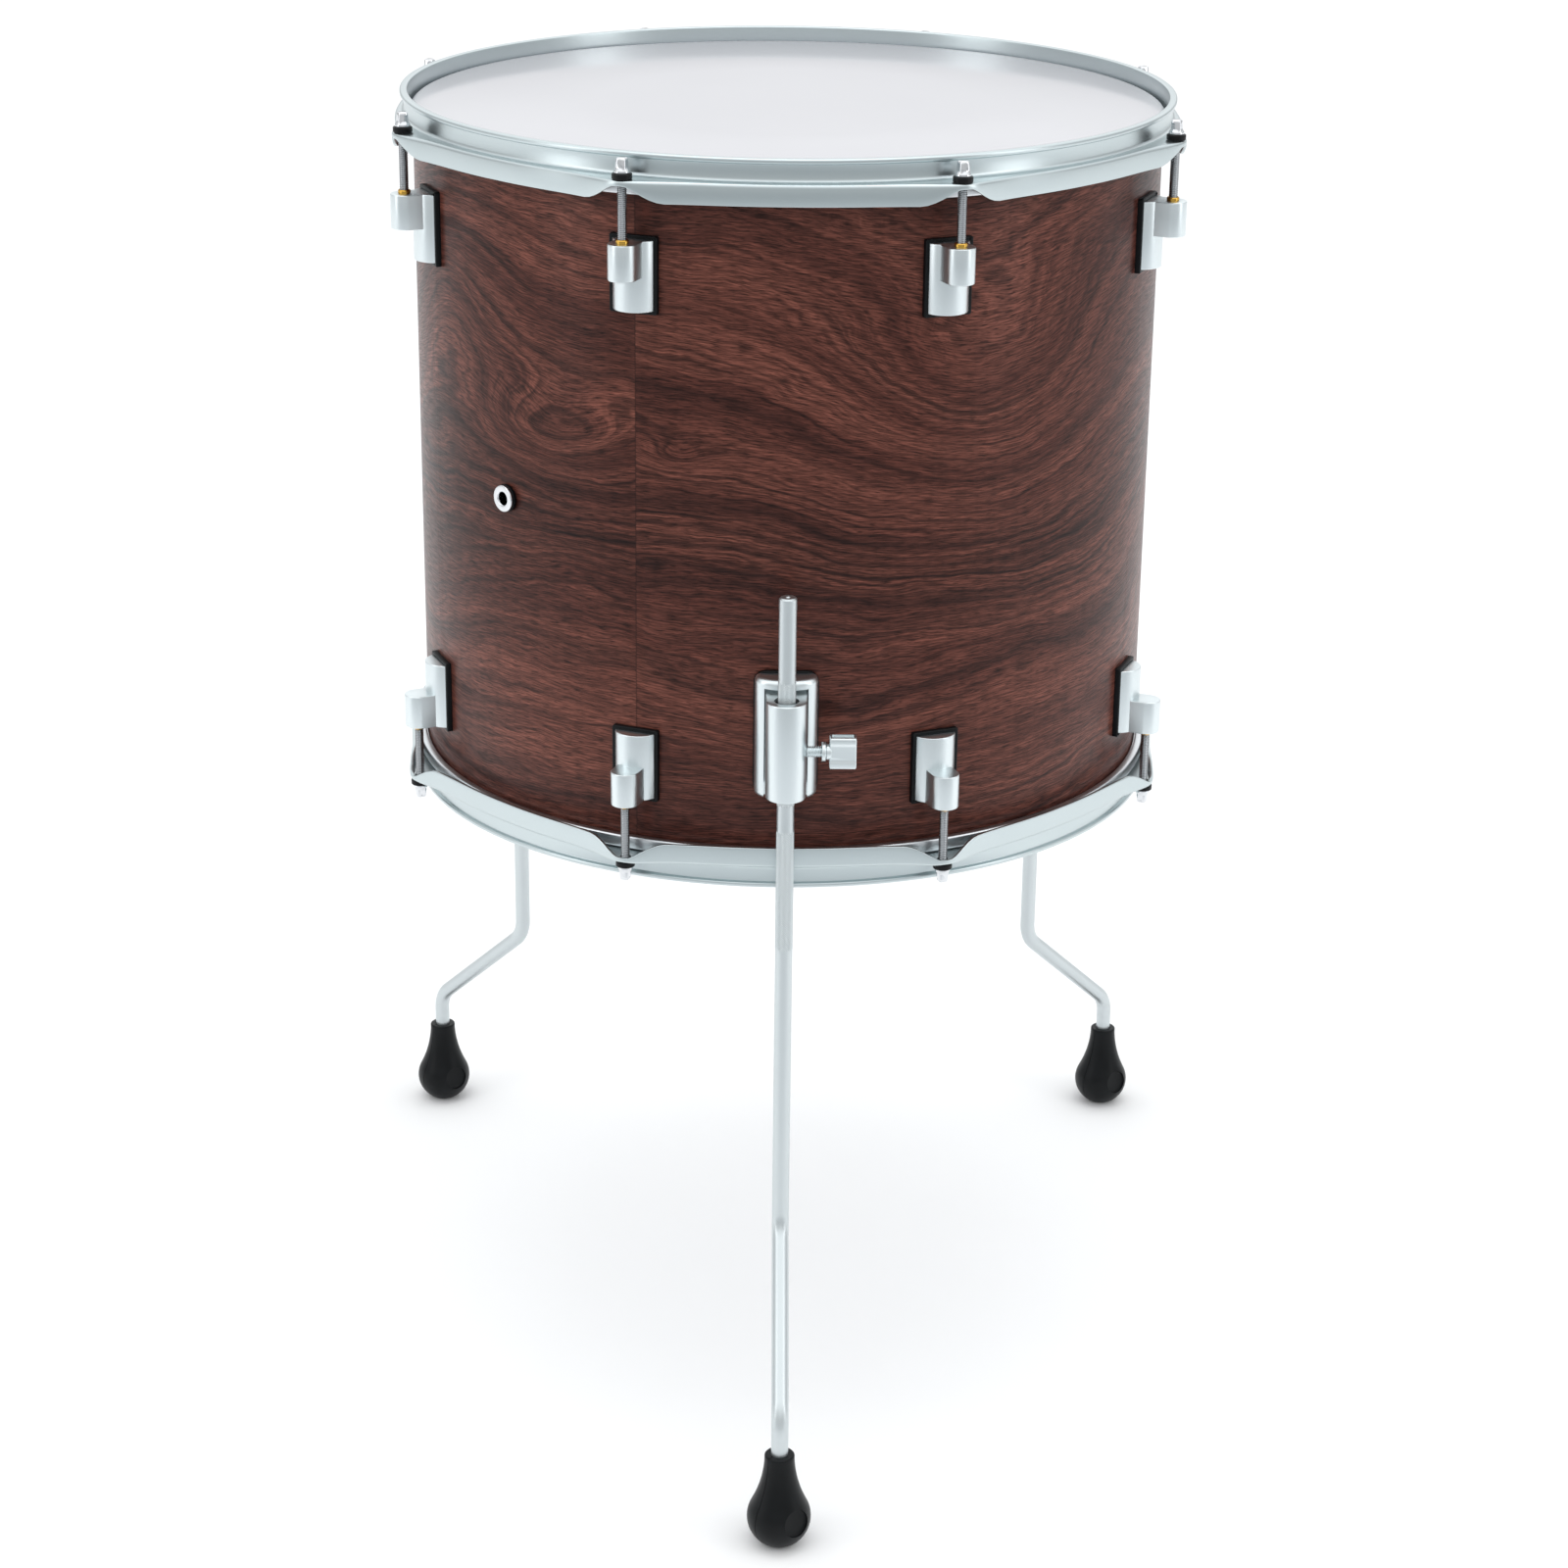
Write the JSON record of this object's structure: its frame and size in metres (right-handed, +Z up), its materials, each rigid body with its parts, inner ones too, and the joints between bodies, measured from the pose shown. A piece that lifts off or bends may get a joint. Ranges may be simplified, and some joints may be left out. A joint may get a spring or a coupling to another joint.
{
  "type": "floor tom drum",
  "caption": "Round wooden floor tom with two tuned heads under steel hoops, standing on three bent, height-adjustable legs with rubber feet.",
  "frame": {"origin": "on the floor, at the middle of the box that holds the drum and its three legs; the drum's own axis stands 51.5 mm behind it", "axes": "+Z up along the drum's axis; -Y towards the front leg; +X to the right seen from the front leg"},
  "size_m": [0.5358, 0.6388, 0.806],
  "materials": {
    "walnut_shell": "dark reddish walnut veneer laid with its grain round the drum, satin lacquer",
    "satin_chrome": "satin chrome plating on steel and zinc castings",
    "leg_chrome": "satin chrome on steel bar, knurled in two zones",
    "bright_chrome": "bright polished chrome",
    "flesh_hoop_aluminium": "plain rolled aluminium",
    "head_film": "smooth glossy white polyester film",
    "black_rubber": "black moulded rubber, satin",
    "black_nylon": "black moulded nylon"
  },
  "bodies": {
    "drum": {"shell": "walnut_shell", "vent_grommet": "bright_chrome", "vent_gasket": "black_rubber", "vent_nut": "satin_chrome", "batter_lug_1": "satin_chrome", "batter_lug_2": "satin_chrome", "batter_lug_3": "satin_chrome", "batter_lug_4": "satin_chrome", "batter_lug_5": "satin_chrome", "batter_lug_6": "satin_chrome", "batter_lug_7": "satin_chrome", "batter_lug_8": "satin_chrome", "resonant_lug_1": "satin_chrome", "resonant_lug_2": "satin_chrome", "resonant_lug_3": "satin_chrome", "resonant_lug_4": "satin_chrome", "resonant_lug_5": "satin_chrome", "resonant_lug_6": "satin_chrome", "resonant_lug_7": "satin_chrome", "resonant_lug_8": "satin_chrome", "leg_bracket_front": "satin_chrome", "leg_bracket_rear_right": "satin_chrome", "leg_bracket_rear_left": "satin_chrome"},
    "batter_rim": {"batter_hoop": "satin_chrome", "batter_flesh_hoop": "flesh_hoop_aluminium", "batter_head": "head_film"},
    "batter_tuner_1": {"batter_rod_1": "bright_chrome"},
    "batter_tuner_2": {"batter_rod_2": "bright_chrome"},
    "batter_tuner_3": {"batter_rod_3": "bright_chrome"},
    "batter_tuner_4": {"batter_rod_4": "bright_chrome"},
    "batter_tuner_5": {"batter_rod_5": "bright_chrome"},
    "batter_tuner_6": {"batter_rod_6": "bright_chrome"},
    "batter_tuner_7": {"batter_rod_7": "bright_chrome"},
    "batter_tuner_8": {"batter_rod_8": "bright_chrome"},
    "resonant_rim": {"resonant_hoop": "satin_chrome", "resonant_flesh_hoop": "flesh_hoop_aluminium", "resonant_head": "head_film"},
    "resonant_tuner_1": {"resonant_rod_1": "bright_chrome"},
    "resonant_tuner_2": {"resonant_rod_2": "bright_chrome"},
    "resonant_tuner_3": {"resonant_rod_3": "bright_chrome"},
    "resonant_tuner_4": {"resonant_rod_4": "bright_chrome"},
    "resonant_tuner_5": {"resonant_rod_5": "bright_chrome"},
    "resonant_tuner_6": {"resonant_rod_6": "bright_chrome"},
    "resonant_tuner_7": {"resonant_rod_7": "bright_chrome"},
    "resonant_tuner_8": {"resonant_rod_8": "bright_chrome"},
    "swivel_front": {"leg_sleeve_front": "black_nylon"},
    "support_front": {"leg_front": "leg_chrome", "foot_front": "black_rubber"},
    "clamp_washer_front": {"thumb_washer_front": "satin_chrome"},
    "clamp_screw_front": {"thumb_screw_front": "satin_chrome"},
    "swivel_rear_right": {"leg_sleeve_rear_right": "black_nylon"},
    "support_rear_right": {"leg_rear_right": "leg_chrome", "foot_rear_right": "black_rubber"},
    "clamp_washer_rear_right": {"thumb_washer_rear_right": "satin_chrome"},
    "clamp_screw_rear_right": {"thumb_screw_rear_right": "satin_chrome"},
    "swivel_rear_left": {"leg_sleeve_rear_left": "black_nylon"},
    "support_rear_left": {"leg_rear_left": "leg_chrome", "foot_rear_left": "black_rubber"},
    "clamp_washer_rear_left": {"thumb_washer_rear_left": "satin_chrome"},
    "clamp_screw_rear_left": {"thumb_screw_rear_left": "satin_chrome"}
  },
  "joints": [
    {"name": "batter_lift", "type": "slide", "parent": "drum", "child": "batter_rim", "axis": [0, 0, 1], "range_m": [0, 0.012]},
    {"name": "batter_rod_turn_1", "type": "hinge", "parent": "batter_rim", "child": "batter_tuner_1", "pos_m": [0.09391, -0.1752, 0.7902], "axis": [0, 0, 1], "range_deg": [0, 4084]},
    {"name": "batter_rod_turn_2", "type": "hinge", "parent": "batter_rim", "child": "batter_tuner_2", "pos_m": [0.22672, -0.04239, 0.7902], "axis": [0, 0, 1], "range_deg": [0, 4084]},
    {"name": "batter_rod_turn_3", "type": "hinge", "parent": "batter_rim", "child": "batter_tuner_3", "pos_m": [0.22672, 0.14543, 0.7902], "axis": [0, 0, 1], "range_deg": [0, 4084]},
    {"name": "batter_rod_turn_4", "type": "hinge", "parent": "batter_rim", "child": "batter_tuner_4", "pos_m": [0.09391, 0.27824, 0.7902], "axis": [0, 0, 1], "range_deg": [0, 4084]},
    {"name": "batter_rod_turn_5", "type": "hinge", "parent": "batter_rim", "child": "batter_tuner_5", "pos_m": [-0.09391, 0.27824, 0.7902], "axis": [0, 0, 1], "range_deg": [0, 4084]},
    {"name": "batter_rod_turn_6", "type": "hinge", "parent": "batter_rim", "child": "batter_tuner_6", "pos_m": [-0.22672, 0.14543, 0.7902], "axis": [0, 0, 1], "range_deg": [0, 4084]},
    {"name": "batter_rod_turn_7", "type": "hinge", "parent": "batter_rim", "child": "batter_tuner_7", "pos_m": [-0.22672, -0.04239, 0.7902], "axis": [0, 0, 1], "range_deg": [0, 4084]},
    {"name": "batter_rod_turn_8", "type": "hinge", "parent": "batter_rim", "child": "batter_tuner_8", "pos_m": [-0.09391, -0.1752, 0.7902], "axis": [0, 0, 1], "range_deg": [0, 4084]},
    {"name": "resonant_drop", "type": "slide", "parent": "drum", "child": "resonant_rim", "axis": [0, 0, -1], "range_m": [0, 0.012]},
    {"name": "resonant_rod_turn_1", "type": "hinge", "parent": "resonant_rim", "child": "resonant_tuner_1", "pos_m": [0.09391, -0.1752, 0.3902], "axis": [0, 0, -1], "range_deg": [0, 4084]},
    {"name": "resonant_rod_turn_2", "type": "hinge", "parent": "resonant_rim", "child": "resonant_tuner_2", "pos_m": [0.22672, -0.04239, 0.3902], "axis": [0, 0, -1], "range_deg": [0, 4084]},
    {"name": "resonant_rod_turn_3", "type": "hinge", "parent": "resonant_rim", "child": "resonant_tuner_3", "pos_m": [0.22672, 0.14543, 0.3902], "axis": [0, 0, -1], "range_deg": [0, 4084]},
    {"name": "resonant_rod_turn_4", "type": "hinge", "parent": "resonant_rim", "child": "resonant_tuner_4", "pos_m": [0.09391, 0.27824, 0.3902], "axis": [0, 0, -1], "range_deg": [0, 4084]},
    {"name": "resonant_rod_turn_5", "type": "hinge", "parent": "resonant_rim", "child": "resonant_tuner_5", "pos_m": [-0.09391, 0.27824, 0.3902], "axis": [0, 0, -1], "range_deg": [0, 4084]},
    {"name": "resonant_rod_turn_6", "type": "hinge", "parent": "resonant_rim", "child": "resonant_tuner_6", "pos_m": [-0.22672, 0.14543, 0.3902], "axis": [0, 0, -1], "range_deg": [0, 4084]},
    {"name": "resonant_rod_turn_7", "type": "hinge", "parent": "resonant_rim", "child": "resonant_tuner_7", "pos_m": [-0.22672, -0.04239, 0.3902], "axis": [0, 0, -1], "range_deg": [0, 4084]},
    {"name": "resonant_rod_turn_8", "type": "hinge", "parent": "resonant_rim", "child": "resonant_tuner_8", "pos_m": [-0.09391, -0.1752, 0.3902], "axis": [0, 0, -1], "range_deg": [0, 4084]},
    {"name": "leg_swivel_front", "type": "hinge", "parent": "drum", "child": "swivel_front", "pos_m": [0, -0.20688, 0.47], "axis": [0, 0, 1], "continuous": true},
    {"name": "leg_height_front", "type": "slide", "parent": "swivel_front", "child": "support_front", "axis": [0, 0, 1], "range_m": [-0.055, 0.15]},
    {"name": "thumb_slide_front", "type": "slide", "parent": "drum", "child": "clamp_washer_front", "axis": [1, 0, 0], "range_m": [0, 0.0025]},
    {"name": "thumb_turn_front", "type": "hinge", "parent": "clamp_washer_front", "child": "clamp_screw_front", "pos_m": [0, -0.20688, 0.469], "axis": [1, 0, 0], "range_deg": [0, 722]},
    {"name": "leg_swivel_rear_right", "type": "hinge", "parent": "drum", "child": "swivel_rear_right", "pos_m": [0.18272, 0.23423, 0.47], "axis": [0, 0, 1], "continuous": true},
    {"name": "leg_height_rear_right", "type": "slide", "parent": "swivel_rear_right", "child": "support_rear_right", "axis": [0, 0, 1], "range_m": [-0.055, 0.15]},
    {"name": "thumb_slide_rear_right", "type": "slide", "parent": "drum", "child": "clamp_washer_rear_right", "axis": [-0.7071, 0.7071, 0], "range_m": [0, 0.0025]},
    {"name": "thumb_turn_rear_right", "type": "hinge", "parent": "clamp_washer_rear_right", "child": "clamp_screw_rear_right", "pos_m": [0.18272, 0.23423, 0.469], "axis": [-0.7071, 0.7071, 0], "range_deg": [0, 722]},
    {"name": "leg_swivel_rear_left", "type": "hinge", "parent": "drum", "child": "swivel_rear_left", "pos_m": [-0.18272, 0.23423, 0.47], "axis": [0, 0, 1], "continuous": true},
    {"name": "leg_height_rear_left", "type": "slide", "parent": "swivel_rear_left", "child": "support_rear_left", "axis": [0, 0, 1], "range_m": [-0.055, 0.15]},
    {"name": "thumb_slide_rear_left", "type": "slide", "parent": "drum", "child": "clamp_washer_rear_left", "axis": [-0.7071, -0.7071, 0], "range_m": [0, 0.0025]},
    {"name": "thumb_turn_rear_left", "type": "hinge", "parent": "clamp_washer_rear_left", "child": "clamp_screw_rear_left", "pos_m": [-0.18272, 0.23423, 0.469], "axis": [-0.7071, -0.7071, 0], "range_deg": [0, 722]}
  ],
  "couplings": [
    {"joint": "batter_rod_turn_1", "follows": "batter_lift", "rad_per_m": 5936.9},
    {"joint": "batter_rod_turn_2", "follows": "batter_lift", "rad_per_m": 5936.9},
    {"joint": "batter_rod_turn_3", "follows": "batter_lift", "rad_per_m": 5936.9},
    {"joint": "batter_rod_turn_4", "follows": "batter_lift", "rad_per_m": 5936.9},
    {"joint": "batter_rod_turn_5", "follows": "batter_lift", "rad_per_m": 5936.9},
    {"joint": "batter_rod_turn_6", "follows": "batter_lift", "rad_per_m": 5936.9},
    {"joint": "batter_rod_turn_7", "follows": "batter_lift", "rad_per_m": 5936.9},
    {"joint": "batter_rod_turn_8", "follows": "batter_lift", "rad_per_m": 5936.9},
    {"joint": "resonant_rod_turn_1", "follows": "resonant_drop", "rad_per_m": 5936.9},
    {"joint": "resonant_rod_turn_2", "follows": "resonant_drop", "rad_per_m": 5936.9},
    {"joint": "resonant_rod_turn_3", "follows": "resonant_drop", "rad_per_m": 5936.9},
    {"joint": "resonant_rod_turn_4", "follows": "resonant_drop", "rad_per_m": 5936.9},
    {"joint": "resonant_rod_turn_5", "follows": "resonant_drop", "rad_per_m": 5936.9},
    {"joint": "resonant_rod_turn_6", "follows": "resonant_drop", "rad_per_m": 5936.9},
    {"joint": "resonant_rod_turn_7", "follows": "resonant_drop", "rad_per_m": 5936.9},
    {"joint": "resonant_rod_turn_8", "follows": "resonant_drop", "rad_per_m": 5936.9},
    {"joint": "thumb_turn_front", "follows": "thumb_slide_front", "rad_per_m": 5026.5},
    {"joint": "thumb_turn_rear_right", "follows": "thumb_slide_rear_right", "rad_per_m": 5026.5},
    {"joint": "thumb_turn_rear_left", "follows": "thumb_slide_rear_left", "rad_per_m": 5026.5}
  ]
}
